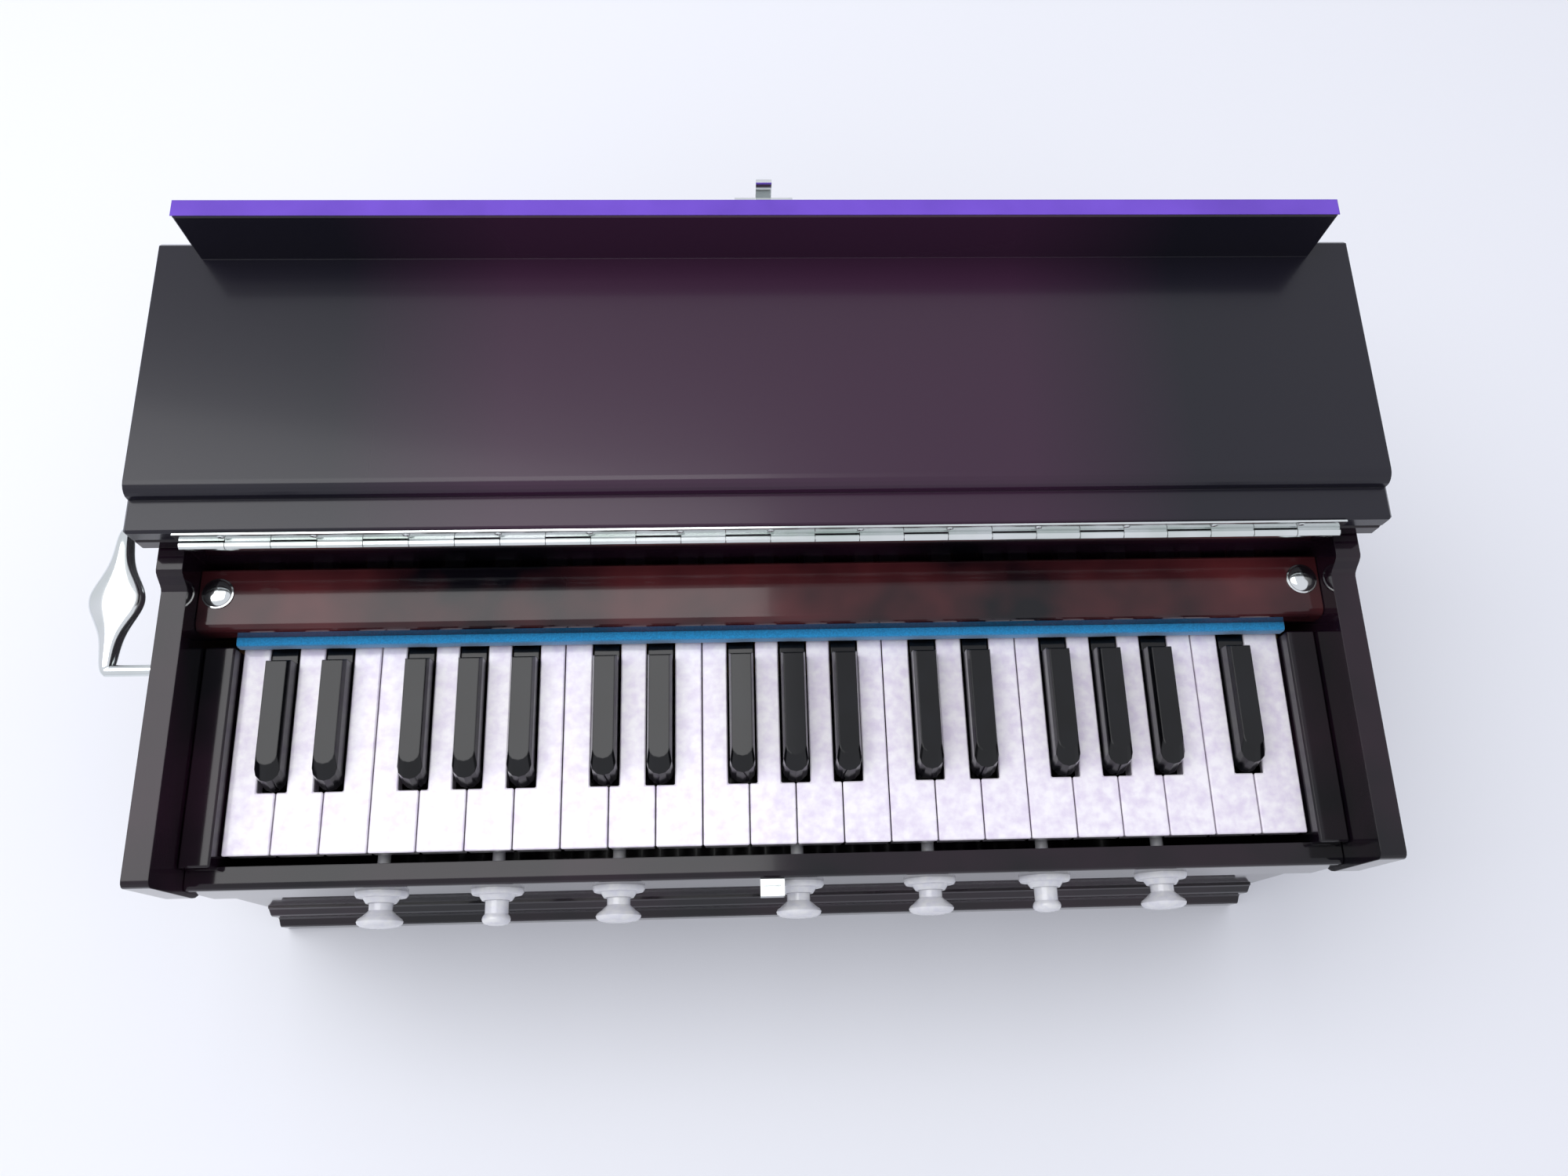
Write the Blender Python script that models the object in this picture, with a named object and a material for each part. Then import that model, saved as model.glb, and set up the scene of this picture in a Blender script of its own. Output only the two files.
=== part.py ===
"""Hand-pumped harmonium with 39 keys, lid folded back, modelled as separate pieces.

+Z is up, -Y faces the player and +X runs to the treble side. The origin is at the middle of the case's underside.
"""
import math

import bmesh
import bpy
from mathutils import Matrix, Vector

MM = 0.001

# Fits
GLUE_GAP = 0.3 * MM
RUNNING_GAP = 0.3 * MM
KEY_GAP = 0.6 * MM
FUSE = 0.4 * MM

# Keyboard
WHITE_COUNT = 23
KEY_PITCH = 21.5 * MM
BLACK_WIDTH = 12.4 * MM
BLACK_LENGTH = 60 * MM
BLACK_RISE = 11 * MM
WHITE_HEAD = 28 * MM
WHITE_SHOWN = 94.7 * MM
CAP_THICKNESS = 2.4 * MM
LEVER_DEPTH = 9.6 * MM
LEVER_WIDTH = 9.4 * MM
CAP_OVERHANG = 0.6 * MM
KEY_SETBACK = 16.8 * MM
KEY_TOP = 177 * MM
KEY_TUCK = 4 * MM
BLACK_OFFSETS = {0: -2 * MM, 1: 2 * MM, 3: -3 * MM, 4: 0, 5: 3 * MM}
OCTAVE_WHITES = 7

# Key action
PIVOT_BEHIND_KEYS = 29.5 * MM
BEAD_RADIUS = 2.5 * MM
BALANCE_WIDTH = 8 * MM
BALANCE_CLEARANCE = 1.5 * MM
PALLET_LENGTH = 24 * MM
PALLET_BEHIND_PIVOT = 33 * MM
PALLET_HEIGHT = 18.7 * MM
LEVER_TAIL = 1 * MM
SLOT_MARGIN = 2 * MM
PALLET_BOARD = 8 * MM

# Case
CHEEK_THICKNESS = 11.5 * MM
BLOCK_WIDTH = 13.9 * MM
BLOCK_CLEARANCE = 0.6 * MM
CASE_DEPTH = 212 * MM
CHEEK_ABOVE_KEYS = 34 * MM
STEP_RISE = 8 * MM
STEP_LENGTH = 8 * MM
STEP_SETBACK = 130 * MM
NOSE_HEIGHT = 46 * MM
NOSE_CURVE = 20 * MM
FRONT_RECESS = 8 * MM
WALL = 8 * MM
BOTTOM = 8 * MM
MOULDING_HEIGHT = 36 * MM
MOULDING_REACH = 9 * MM
CLEAT = 10 * MM

# Front rail and name rail
SLIP_BELOW_KEYS = 0.5 * MM
SLIP_DEPTH = 35.5 * MM
SLIP_THICKNESS = 10.2 * MM
SLIP_SETBACK = 2 * MM
SLIP_NOSE = 3 * MM
BLOCK_ABOVE_KEYS = 9 * MM
BLOCK_DEPTH = 26 * MM
BLOCK_LAP = 1.2 * MM
RAIL_THICKNESS = 12 * MM
RAIL_WIDTH = 31.5 * MM
RAIL_NOSE = 4 * MM
RAIL_CLEARANCE = 10 * MM
FELT_DEPTH = 6.5 * MM
FELT_LIFT = 2 * MM
FELT_SHOWN = 4 * MM

# Stop knobs
KNOB_PLACES = (-181 * MM, -128 * MM, -72 * MM, 11.5 * MM, 73.5 * MM, 128 * MM, 183.5 * MM)
NARROW_KNOBS = (1, 5)
KNOB_DROP = 24 * MM
KNOB_REACH = 15.5 * MM
KNOB_HEAD = 10.5 * MM
NARROW_HEAD = 6.6 * MM
KNOB_NECK = 5.4 * MM
KNOB_ROD = 3 * MM
ROD_LENGTH = 24 * MM
ROSETTE_RADIUS = 12 * MM
ROSETTE_THICKNESS = 2.4 * MM
BOSS_RADIUS = 8 * MM
BOSS_HEIGHT = 5 * MM

# Lid, top board and hinge
BOARD_OVERHANG = 7.5 * MM
BOARD_THICKNESS = 9.5 * MM
BOARD_EDGE = 1.2 * MM
BACK_OVERHANG = 2 * MM
PANEL_THICKNESS = 8 * MM
PANEL_NOSE = 6 * MM
PANEL_INSET = 1 * MM
REBATE = 15.2 * MM
LID_STANDS_OFF = 0.5 * MM
LIP_HEIGHT = 32.3 * MM
LIP_THICKNESS = 9 * MM
LIP_CLEARANCE = 1.5 * MM
LIP_SETBACK = 1.3 * MM
HINGE_TO_EDGE = 2.3 * MM
KNUCKLE_RADIUS = 2.2 * MM
PIN_RADIUS = 0.9 * MM
KNUCKLE_PITCH = 20 * MM
KNUCKLE_COUNT = 26
LEAF_THICKNESS = 0.9 * MM
LEAF_WIDTH = 7 * MM
HEADER_THICKNESS = 9 * MM

# Latch and catch
LATCH_PLACE = -1 * MM
LATCH_WIDTH = 26 * MM
LATCH_HEIGHT = 13 * MM
LATCH_THICKNESS = 1.2 * MM
TONGUE_WIDTH = 7 * MM
TONGUE_THICKNESS = 1.6 * MM
TONGUE_REACH = 7 * MM
TONGUE_STANDS_OFF = 5 * MM
CATCH_WIDTH = 11 * MM
CATCH_WALL = 1.2 * MM
SLOT_CLEARANCE = 1.1 * MM
CATCH_HEIGHT = 8 * MM

# Handle
HANDLE_HEIGHT = 160 * MM
HANDLE_PLACE = 38 * MM
HANDLE_SPAN = 72 * MM
HANDLE_REACH = 44 * MM
ARM_RADIUS = 2.8 * MM
GRIP_THICKNESS = 4.2 * MM
GRIP_END = 4.5 * MM
GRIP_MIDDLE = 13.5 * MM
FOOT_RADIUS = 9 * MM
FOOT_THICKNESS = 2.5 * MM

# Bellows
BELLOWS_INSET = 9 * MM
BELLOWS_DEPTH = 36 * MM
BELLOWS_TOP_GAP = 7 * MM
BELLOWS_LIFT = 6 * MM
BELLOWS_FOLDS = 4
FOLD_DEPTH = 7 * MM
PUMP_BOARD = 8 * MM

# Derived places
KEYBOARD = WHITE_COUNT * KEY_PITCH
INNER = KEYBOARD / 2 + BLOCK_CLEARANCE + BLOCK_WIDTH + GLUE_GAP
OUTER = INNER + CHEEK_THICKNESS
FRONT = -CASE_DEPTH / 2
BACK = CASE_DEPTH / 2
WALL_FRONT = FRONT + FRONT_RECESS
KEY_FRONT = FRONT + KEY_SETBACK
KEY_BACK = KEY_FRONT + WHITE_SHOWN
SHOULDER = KEY_FRONT + WHITE_HEAD
CAP_BOTTOM = KEY_TOP - CAP_THICKNESS
LEVER_BOTTOM = CAP_BOTTOM - LEVER_DEPTH
PIVOT = KEY_BACK + PIVOT_BEHIND_KEYS
PALLET_FRONT = PIVOT + PALLET_BEHIND_PIVOT
PALLET_BACK = PALLET_FRONT + PALLET_LENGTH
PALLET_BOTTOM = LEVER_BOTTOM - PALLET_HEIGHT
BOARD_TOP = PALLET_BOTTOM - RUNNING_GAP
CHEEK_TOP = KEY_TOP + CHEEK_ABOVE_KEYS
STEP_TOP = CHEEK_TOP + STEP_RISE
STEP_FRONT = FRONT + STEP_SETBACK
SLIP_TOP = KEY_TOP - SLIP_BELOW_KEYS
SLIP_BOTTOM = SLIP_TOP - SLIP_DEPTH
SLIP_FRONT = FRONT + SLIP_SETBACK
SLIP_BACK = SLIP_FRONT + SLIP_THICKNESS
KNOB_HEIGHT = KEY_TOP - KNOB_DROP
TOP_UNDER = STEP_TOP + GLUE_GAP
TOP_UPPER = TOP_UNDER + BOARD_THICKNESS
AXIS_Z = TOP_UPPER + LID_STANDS_OFF / 2
LID_FACE = TOP_UPPER + LID_STANDS_OFF + BOARD_THICKNESS
PANEL_FACE = LID_FACE + PANEL_THICKNESS
RAIL_FRONT = KEY_BACK + FELT_SHOWN
RAIL_BACK = RAIL_FRONT + RAIL_WIDTH
RAIL_BOTTOM = KEY_TOP + RAIL_CLEARANCE
AXIS_Y = RAIL_BACK - 2 * MM + GLUE_GAP
EDGE_Y = AXIS_Y + HINGE_TO_EDGE
LID_BACK = 2 * AXIS_Y - FRONT - LIP_SETBACK
LIP_TOP = PANEL_FACE + LIP_HEIGHT
BOARD_HALF = OUTER + BOARD_OVERHANG
HEADER_FRONT = EDGE_Y + 4 * GLUE_GAP
PUMP_INNER = BACK + BELLOWS_DEPTH
BELLOWS_HALF = OUTER - BELLOWS_INSET
BELLOWS_TOP = STEP_TOP - BELLOWS_TOP_GAP


def material(name, colour, roughness, metallic=0.0):
    """Principled BSDF with the piece's own colour and gloss."""
    found = bpy.data.materials.new(name)
    found.use_nodes = True
    shader = found.node_tree.nodes["Principled BSDF"]
    shader.inputs["Base Color"].default_value = (*colour, 1)
    shader.inputs["Roughness"].default_value = roughness
    shader.inputs["Metallic"].default_value = metallic
    found.diffuse_color = (*colour, 1)
    return found


def mesh_object(name, bm, surface=None):
    """A named object from a bmesh, with faces pointing out."""
    bmesh.ops.recalc_face_normals(bm, faces=bm.faces)
    mesh = bpy.data.meshes.new(name)
    bm.to_mesh(mesh)
    bm.free()
    if surface is not None:
        mesh.materials.append(surface)
    placed = bpy.data.objects.new(name, mesh)
    bpy.context.scene.collection.objects.link(placed)
    return placed


def prism(outline, axis, low, high, edge=0.0):
    """An outline of two coordinates carried along x, y or z; edge rounds its long corners with one chamfer."""
    order = {"x": (2, 0, 1), "y": (0, 2, 1), "z": (0, 1, 2)}[axis]
    bm = bmesh.new()
    ends = []
    for level in (low, high):
        ring = []
        for first, second in outline:
            spot = (first, second, level)
            ring.append(bm.verts.new((spot[order[0]], spot[order[1]], spot[order[2]])))
        ends.append(ring)
    count = len(outline)
    bm.faces.new(ends[0])
    bm.faces.new(ends[1])
    for i in range(count):
        j = (i + 1) % count
        bm.faces.new((ends[0][i], ends[0][j], ends[1][j], ends[1][i]))
    if edge:
        bmesh.ops.recalc_face_normals(bm, faces=bm.faces)
        bmesh.ops.bevel(bm, geom=list(bm.edges), offset=edge, segments=1, affect="EDGES")
    return mesh_object("shape", bm)


def block(low, high, edge=0.0):
    """A board between two corners."""
    outline = ((low[0], low[1]), (high[0], low[1]), (high[0], high[1]), (low[0], high[1]))
    return prism(outline, "z", low[2], high[2], edge)


def turned(profile, middle, sides):
    """A shape turned about a line along Y: profile has (radius, y) from one end to the other."""
    bm = bmesh.new()
    rings = []
    for radius, y in profile:
        if radius == 0:
            rings.append([bm.verts.new((middle[0], y, middle[1]))])
            continue
        ring = []
        for k in range(sides):
            angle = 2 * math.pi * k / sides
            ring.append(bm.verts.new((middle[0] + radius * math.cos(angle), y, middle[1] + radius * math.sin(angle))))
        rings.append(ring)
    for first, second in zip(rings, rings[1:]):
        for k in range(sides):
            n = (k + 1) % sides
            if len(first) == 1:
                bm.faces.new((first[0], second[k], second[n]))
            elif len(second) == 1:
                bm.faces.new((first[k], second[0], first[n]))
            else:
                bm.faces.new((first[k], second[k], second[n], first[n]))
    for ring in (rings[0], rings[-1]):
        if len(ring) > 1:
            bm.faces.new(ring)
    return mesh_object("shape", bm)


def rod(low, high, radius, middle, sides):
    """A round bar along X; middle is its (y, z)."""
    outline = []
    for k in range(sides):
        angle = 2 * math.pi * (k + 0.5) / sides
        outline.append((middle[0] + radius * math.cos(angle), middle[1] + radius * math.sin(angle)))
    return prism(outline, "x", low, high)


def gather(shapes):
    """Several shapes that don't touch as one mesh, for one cut or one joining."""
    bm = bmesh.new()
    for shape in shapes:
        bm.from_mesh(shape.data)
        bpy.data.objects.remove(shape)
    return mesh_object("shape", bm)


def combine(name, surface, base, add=(), cut=()):
    """base joined with each shape in add and cut by each in cut, as one closed solid."""
    for shapes, operation in ((add, "UNION"), (cut, "DIFFERENCE")):
        for shape in shapes:
            step = base.modifiers.new("step", "BOOLEAN")
            step.operation = operation
            step.solver = "EXACT"
            step.object = shape
            bpy.context.view_layer.update()
            solid = base.evaluated_get(bpy.context.evaluated_depsgraph_get())
            mesh = bpy.data.meshes.new_from_object(solid)
            base.modifiers.remove(step)
            base.data = mesh
            bpy.data.objects.remove(shape)
    base.name = name
    base.data.name = name
    base.data.materials.clear()
    base.data.materials.append(surface)
    return base


def seat(piece, point, parent=None):
    """Moves a piece's origin to a point of its joint's axis, leaving its shape in place."""
    piece.data.transform(Matrix.Translation(-Vector(point)))
    piece.location = point
    if parent is not None:
        piece.parent = parent
        piece.matrix_parent_inverse = parent.matrix_world.inverted()
    return piece


def arc(centre, radius, start, end, steps):
    """Points of a circle from one angle to another, in degrees."""
    points = []
    for k in range(steps + 1):
        angle = math.radians(start + (end - start) * k / steps)
        points.append((centre[0] + radius * math.cos(angle), centre[1] + radius * math.sin(angle)))
    return points


def ogee(start, end, steps):
    """An S-shaped stretch from start to end that leaves and arrives along the second coordinate."""
    points = []
    for k in range(steps + 1):
        t = k / steps
        share = (1 - math.cos(math.pi * t)) / 2
        points.append((start[0] + (end[0] - start[0]) * share, start[1] + (end[1] - start[1]) * t))
    return points


def black_centre(index):
    """The middle of the black key after white key number index, or None where there is none."""
    if index < 0 or index >= WHITE_COUNT - 1:
        return None
    offset = BLACK_OFFSETS.get(index % OCTAVE_WHITES)
    if offset is None:
        return None
    return -KEYBOARD / 2 + (index + 1) * KEY_PITCH + offset


def lever(middle, front, width=LEVER_WIDTH):
    """A key's wooden lever with the notch that sits over the balance bead, and its pallet."""
    notch = arc((PIVOT, LEVER_BOTTOM), BEAD_RADIUS + RUNNING_GAP, 180, 0, 5)
    side = [(front, LEVER_BOTTOM)] + notch + [
        (PALLET_FRONT, LEVER_BOTTOM),
        (PALLET_FRONT, PALLET_BOTTOM),
        (PALLET_BACK, PALLET_BOTTOM),
        (PALLET_BACK + LEVER_TAIL, LEVER_BOTTOM),
        (PALLET_BACK + LEVER_TAIL, CAP_BOTTOM - LEVER_DEPTH / 3),
        (PALLET_FRONT, CAP_BOTTOM + FUSE),
        (front, CAP_BOTTOM + FUSE),
    ]
    return prism(side, "x", middle - width / 2, middle + width / 2)


def white_key(index, surface, parent):
    """Cap cut round the black keys, on a lever with a full-width head."""
    left = -KEYBOARD / 2 + index * KEY_PITCH + KEY_GAP / 2
    right = left + KEY_PITCH - KEY_GAP
    half = BLACK_WIDTH / 2 + KEY_GAP
    before = black_centre(index - 1)
    after = black_centre(index)
    neck_left = left if before is None else before + half
    neck_right = right if after is None else after - half
    back = KEY_BACK + KEY_TUCK
    outline = [(left, KEY_FRONT), (right, KEY_FRONT)]
    if after is not None:
        outline += [(right, SHOULDER)]
    outline += [(neck_right, SHOULDER if after is not None else back)]
    if after is not None:
        outline += [(neck_right, back)]
    outline += [(neck_left, back)]
    if before is not None:
        outline += [(neck_left, SHOULDER), (left, SHOULDER)]
    cap = prism(outline, "z", CAP_BOTTOM, KEY_TOP, 0.5 * MM)
    head = block(
        (left + CAP_OVERHANG, KEY_FRONT + CAP_OVERHANG, LEVER_BOTTOM),
        (right - CAP_OVERHANG, SHOULDER - CAP_OVERHANG, CAP_BOTTOM + 2 * FUSE),
    )
    middle = (neck_left + neck_right) / 2
    arm = lever(middle, SHOULDER - WHITE_HEAD / 2)
    key = combine("white_key_%02d" % (index + 1), surface, cap, (head, arm))
    return seat(key, (0, PIVOT, LEVER_BOTTOM), parent)


def black_key(number, middle, surface, parent):
    """Raised cap with round front and drawn-in flanks, on its lever."""
    front = SHOULDER + KEY_GAP
    rings = (
        (CAP_BOTTOM, BLACK_WIDTH / 2, front, front + BLACK_LENGTH),
        (KEY_TOP + BLACK_RISE * 0.72, BLACK_WIDTH / 2 - 0.5 * MM, front + 3 * MM, front + BLACK_LENGTH - 0.4 * MM),
        (KEY_TOP + BLACK_RISE, BLACK_WIDTH / 2 - 1.5 * MM, front + 10 * MM, front + BLACK_LENGTH - 1.6 * MM),
    )
    bm = bmesh.new()
    made = []
    for height, half, near, far in rings:
        spots = [(middle + half, far), (middle - half, far)]
        spots += arc((middle, near + half), half, 180, 360, 6)
        made.append([bm.verts.new((x, y, height)) for x, y in spots])
    count = len(made[0])
    bm.faces.new(made[0])
    bm.faces.new(made[-1])
    for first, second in zip(made, made[1:]):
        for k in range(count):
            n = (k + 1) % count
            bm.faces.new((first[k], first[n], second[n], second[k]))
    cap = mesh_object("shape", bm)
    half = BLACK_WIDTH / 2 - KEY_GAP / 2
    strip = block(
        (middle - half, front + BLACK_LENGTH - 2 * MM, CAP_BOTTOM - FUSE),
        (middle + half, KEY_BACK + KEY_TUCK, KEY_TOP),
    )
    arm = lever(middle, front + BLACK_WIDTH / 2)
    key = combine("black_key_%02d" % number, surface, cap, (strip, arm))
    return seat(key, (0, PIVOT, LEVER_BOTTOM), parent)


def pallet_places():
    """The middle of every key's lever, from bass to treble."""
    places = []
    half = BLACK_WIDTH / 2 + KEY_GAP
    for index in range(WHITE_COUNT):
        left = -KEYBOARD / 2 + index * KEY_PITCH + KEY_GAP / 2
        right = left + KEY_PITCH - KEY_GAP
        before = black_centre(index - 1)
        after = black_centre(index)
        neck_left = left if before is None else before + half
        neck_right = right if after is None else after - half
        places.append((neck_left + neck_right) / 2)
        if after is not None:
            places.append(after)
    return places


def case(surface):
    """Bottom, cheeks, back, header, front wall, base moulding and cleats, glued up as one carcass."""
    nose_bottom = CHEEK_TOP - NOSE_HEIGHT
    cheek = [(WALL_FRONT, 0)]
    cheek += ogee((WALL_FRONT, nose_bottom - NOSE_CURVE), (FRONT, nose_bottom), 6)
    cheek += arc((FRONT + 3 * MM, CHEEK_TOP - 3 * MM), 3 * MM, 180, 90, 3)
    step = ogee((CHEEK_TOP, STEP_FRONT), (STEP_TOP, STEP_FRONT + STEP_LENGTH), 6)
    cheek += [(y, z) for z, y in step]
    cheek += [(BACK, STEP_TOP), (BACK, 0)]
    left = prism(cheek, "x", -OUTER, -INNER)
    right = prism(cheek, "x", INNER, OUTER)
    moulding = [
        (WALL_FRONT + WALL / 2, 0),
        (WALL_FRONT - MOULDING_REACH, 0),
        (WALL_FRONT - MOULDING_REACH, MOULDING_HEIGHT * 0.3),
    ]
    moulding += ogee(
        (WALL_FRONT - MOULDING_REACH, MOULDING_HEIGHT * 0.34),
        (WALL_FRONT - MOULDING_REACH / 2, MOULDING_HEIGHT * 0.5),
        4,
    )
    moulding += [(WALL_FRONT - MOULDING_REACH / 2, MOULDING_HEIGHT * 0.78)]
    moulding += ogee(
        (WALL_FRONT - MOULDING_REACH / 2, MOULDING_HEIGHT * 0.8),
        (WALL_FRONT - 0.8 * MM, MOULDING_HEIGHT),
        4,
    )
    moulding += [(WALL_FRONT + WALL / 2, MOULDING_HEIGHT)]
    base = prism(moulding, "x", -OUTER, OUTER)
    reach = INNER + FUSE
    bottom = block((-reach, WALL_FRONT + FUSE, 0), (reach, BACK - FUSE, BOTTOM))
    rear = block((-reach, BACK - WALL, FUSE), (reach, BACK, STEP_TOP - FUSE))
    wall = block((-reach, WALL_FRONT, 2 * FUSE), (reach, WALL_FRONT + WALL, SLIP_BOTTOM - GLUE_GAP))
    header = block(
        (-reach, HEADER_FRONT, RAIL_BOTTOM),
        (reach, HEADER_FRONT + HEADER_THICKNESS, STEP_TOP - FUSE),
    )
    cleats = []
    for side in (-1, 1):
        inner = side * (INNER - CLEAT)
        outer = side * reach
        low, high = min(inner, outer), max(inner, outer)
        under = BOARD_TOP - PALLET_BOARD - GLUE_GAP
        cleats.append(block((low, 0, under - CLEAT), (high, BACK - WALL + FUSE, under)))
        shelf = RAIL_BOTTOM - GLUE_GAP
        cleats.append(block((low, RAIL_FRONT + 2 * MM, shelf - CLEAT), (high, RAIL_BACK - 2 * MM, shelf)))
    return combine("case", surface, left, (base, right, bottom, rear, wall, header, *cleats))


def pallet_board(surface):
    """Board over the reeds with an air slot for each pallet, and the balance rail with its bead."""
    half = INNER - GLUE_GAP
    board = block(
        (-half, GLUE_GAP, BOARD_TOP - PALLET_BOARD),
        (half, BACK - WALL - GLUE_GAP, BOARD_TOP),
    )
    rail = block(
        (-half, PIVOT - BALANCE_WIDTH / 2, BOARD_TOP - FUSE),
        (half, PIVOT + BALANCE_WIDTH / 2, LEVER_BOTTOM - BALANCE_CLEARANCE),
    )
    bead = rod(-half, half, BEAD_RADIUS, (PIVOT, LEVER_BOTTOM), 12)
    slots = []
    for place in pallet_places():
        width = LEVER_WIDTH / 2 - SLOT_MARGIN
        slots.append(block(
            (place - width, PALLET_FRONT + SLOT_MARGIN, BOARD_TOP - 2 * PALLET_BOARD),
            (place + width, PALLET_BACK - SLOT_MARGIN, BOARD_TOP + PALLET_BOARD / 2),
        ))
    return combine("pallet_board", surface, board, (rail, bead), (gather(slots),))


def front_rail(surface):
    """Key slip over the stop-knob board, the two key blocks and the knobs' escutcheons."""
    half = INNER - GLUE_GAP
    profile = [(SLIP_BACK, SLIP_BOTTOM), (SLIP_FRONT, SLIP_BOTTOM)]
    profile += arc((SLIP_FRONT + SLIP_NOSE, SLIP_TOP - SLIP_NOSE), SLIP_NOSE, 180, 90, 4)
    profile += [(SLIP_BACK, SLIP_TOP)]
    board = prism(profile, "x", -half, half)
    blocks = []
    for side in (-1, 1):
        inner = side * (KEYBOARD / 2 + BLOCK_CLEARANCE)
        outer = side * half
        low, high = min(inner, outer), max(inner, outer)
        top = KEY_TOP + BLOCK_ABOVE_KEYS
        blocks.append(block((low, SLIP_BACK - BLOCK_LAP, top - BLOCK_DEPTH), (high, KEY_BACK, top), 0.8 * MM))
    rosettes = []
    holes = []
    for place in KNOB_PLACES:
        middle = (place, KNOB_HEIGHT)
        shape = (
            (ROSETTE_RADIUS, SLIP_FRONT + FUSE),
            (ROSETTE_RADIUS, SLIP_FRONT - ROSETTE_THICKNESS / 2),
            (ROSETTE_RADIUS - 1.4 * MM, SLIP_FRONT - ROSETTE_THICKNESS),
            (BOSS_RADIUS, SLIP_FRONT - ROSETTE_THICKNESS),
            (KNOB_NECK + 1.3 * MM, SLIP_FRONT - BOSS_HEIGHT),
        )
        rosettes.append(turned(shape, middle, 16))
        hole = KNOB_NECK + RUNNING_GAP
        bore = ((hole, SLIP_FRONT - 2 * BOSS_HEIGHT), (hole, SLIP_BACK + 2 * MM))
        holes.append(turned(bore, middle, 12))
    return combine("front_rail", surface, board, (*blocks, gather(rosettes)), (gather(holes),))


def stop_knob(number, place, narrow, surface):
    """Turned head on a neck that slides in the escutcheon, with its draw rod behind."""
    head = NARROW_HEAD if narrow else KNOB_HEAD
    tip = SLIP_FRONT - KNOB_REACH
    profile = (
        (0, tip - 0.9 * MM),
        (head * 0.55, tip - 0.6 * MM),
        (head * 0.9, tip + 0.5 * MM),
        (head, tip + 2 * MM),
        (head, tip + 3.2 * MM),
        (head * 0.8, tip + 4.6 * MM),
        (KNOB_NECK, tip + 6.5 * MM),
        (KNOB_NECK, SLIP_FRONT + 3 * MM),
        (KNOB_ROD, SLIP_FRONT + 4 * MM),
        (KNOB_ROD, SLIP_BACK + ROD_LENGTH),
    )
    knob = turned(profile, (place, KNOB_HEIGHT), 12)
    combine("stop_knob_%d" % number, surface, knob)
    return seat(knob, (place, SLIP_FRONT, KNOB_HEIGHT))


def name_rail(surface):
    """Rail behind the keys, with a rounded front edge."""
    half = INNER - GLUE_GAP
    top = RAIL_BOTTOM + RAIL_THICKNESS
    profile = [(RAIL_BACK - 2 * MM, RAIL_BOTTOM), (RAIL_FRONT, RAIL_BOTTOM)]
    profile += arc((RAIL_FRONT + RAIL_NOSE, top - RAIL_NOSE), RAIL_NOSE, 180, 90, 5)
    profile += [(RAIL_BACK - 3 * MM, top), (RAIL_BACK - 2 * MM, top - 1 * MM)]
    return combine("name_rail", surface, prism(profile, "x", -half, half))


def felt_strip(surface):
    """Felt along the rail's underside, standing proud of its front edge."""
    half = KEYBOARD / 2
    return combine("felt_strip", surface, block(
        (-half, KEY_BACK, KEY_TOP + FELT_LIFT),
        (half, KEY_BACK + FELT_DEPTH, RAIL_BOTTOM - GLUE_GAP),
        0.6 * MM,
    ))


def top_board(surface):
    """Fixed board behind the hinge, over the bellows end of the case."""
    return combine("top_board", surface, block(
        (-BOARD_HALF, EDGE_Y, TOP_UNDER),
        (BOARD_HALF, BACK + BACK_OVERHANG, TOP_UPPER),
        BOARD_EDGE,
    ))


def lid(surface, parent):
    """Lid board with its raised inner panel and front lip, lying open on the top board."""
    board = block(
        (-BOARD_HALF, EDGE_Y, TOP_UPPER + LID_STANDS_OFF),
        (BOARD_HALF, LID_BACK, LID_FACE),
        BOARD_EDGE,
    )
    near = AXIS_Y + REBATE + HINGE_TO_EDGE
    far = LID_BACK
    panel = [(far, LID_FACE - FUSE), (near, LID_FACE - FUSE)]
    panel += arc((near + PANEL_NOSE, PANEL_FACE - PANEL_NOSE), PANEL_NOSE, 180, 90, 5)
    panel += [(far - 2 * MM, PANEL_FACE), (far, PANEL_FACE - 2 * MM)]
    half = BOARD_HALF - PANEL_INSET
    raised = prism(panel, "x", -half, half)
    width = INNER - LIP_CLEARANCE
    lip = block(
        (-width, LID_BACK - LIP_THICKNESS - FUSE, PANEL_FACE - 3 * MM),
        (width, LID_BACK - FUSE, LIP_TOP),
        0.8 * MM,
    )
    return seat(combine("lid", surface, board, (raised, lip)), (0, AXIS_Y, AXIS_Z), parent)


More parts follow.
